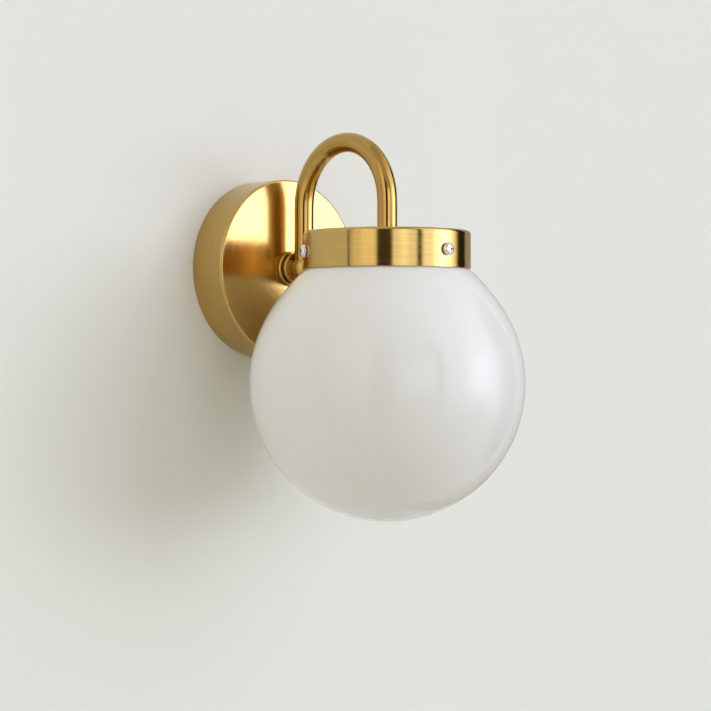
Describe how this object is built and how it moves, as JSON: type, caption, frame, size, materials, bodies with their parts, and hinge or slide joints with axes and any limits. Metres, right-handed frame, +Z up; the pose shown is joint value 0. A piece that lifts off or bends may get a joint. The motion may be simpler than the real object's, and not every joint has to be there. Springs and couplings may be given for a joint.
{
  "type": "globe wall sconce",
  "caption": "Wall light with an opal glass globe hung from a brass holder on a gooseneck arm and a round canopy.",
  "frame": {"origin": "centre of the canopy's open back, on the wall", "axes": "+Y into the wall, +Z up, +X to the right of someone who faces the wall; the lamp stands out along -Y"},
  "size_m": [0.15, 0.18, 0.2143],
  "materials": {
    "satin_brass": "finely brushed and lacquered, satin",
    "plain_brass": "bare turned brass",
    "zinc_plated_steel": "dull zinc plate",
    "bright_plate": "bright nickel plate",
    "opal_glass": "opal, glossy, not see-through",
    "soft_ring": "soft silicone, matt",
    "white_moulding": "moulded, matt",
    "black_moulding": "moulded, matt",
    "socket_ceramic": "unglazed",
    "lamp_solder": "tinned",
    "lamp_diffuser": "frosted"
  },
  "bodies": {
    "root": {"canopy": "satin_brass", "crossbar": "zinc_plated_steel", "canopy_screws": "zinc_plated_steel", "earth_washer": "plain_brass", "earth_screw": "plain_brass", "terminal_block": "white_moulding", "terminal_tubes": "plain_brass", "terminal_screws": "zinc_plated_steel", "terminal_fixing_screw": "zinc_plated_steel", "stem_washer": "zinc_plated_steel", "stem_nut": "zinc_plated_steel", "collar_ring": "satin_brass", "collar_seat": "satin_brass", "elbow": "satin_brass", "arm_tube": "satin_brass", "holder_cap": "satin_brass", "cap_washer": "zinc_plated_steel", "cap_nut": "zinc_plated_steel", "screw_inserts": "plain_brass", "globe_gasket": "soft_ring", "globe": "opal_glass", "socket_cap": "black_moulding", "socket_body": "black_moulding", "socket_core": "socket_ceramic", "socket_shell": "plain_brass", "socket_contact": "plain_brass", "socket_terminals": "zinc_plated_steel"},
    "globe_screw_front": {"globe_screw_front": "bright_plate"},
    "globe_screw_left": {"globe_screw_left": "bright_plate"},
    "globe_screw_right": {"globe_screw_right": "bright_plate"},
    "lamp": {"bulb_contact": "lamp_solder", "bulb_insulator": "black_moulding", "bulb_base": "bright_plate", "bulb_body": "white_moulding", "bulb_globe": "lamp_diffuser"}
  },
  "joints": [
    {"name": "globe_screw_front_slide", "type": "slide", "parent": "root", "child": "globe_screw_front", "axis": [0, -1, 0], "range_m": [0, 0.0028]},
    {"name": "globe_screw_left_slide", "type": "slide", "parent": "root", "child": "globe_screw_left", "axis": [-0.866, 0.5, 0], "range_m": [0, 0.0028]},
    {"name": "globe_screw_right_slide", "type": "slide", "parent": "root", "child": "globe_screw_right", "axis": [0.866, 0.5, 0], "range_m": [0, 0.0028]},
    {"name": "lamp_turn", "type": "hinge", "parent": "root", "child": "lamp", "pos_m": [0, -0.105, -0.0646], "axis": [0, 0, 1], "continuous": true}
  ]
}
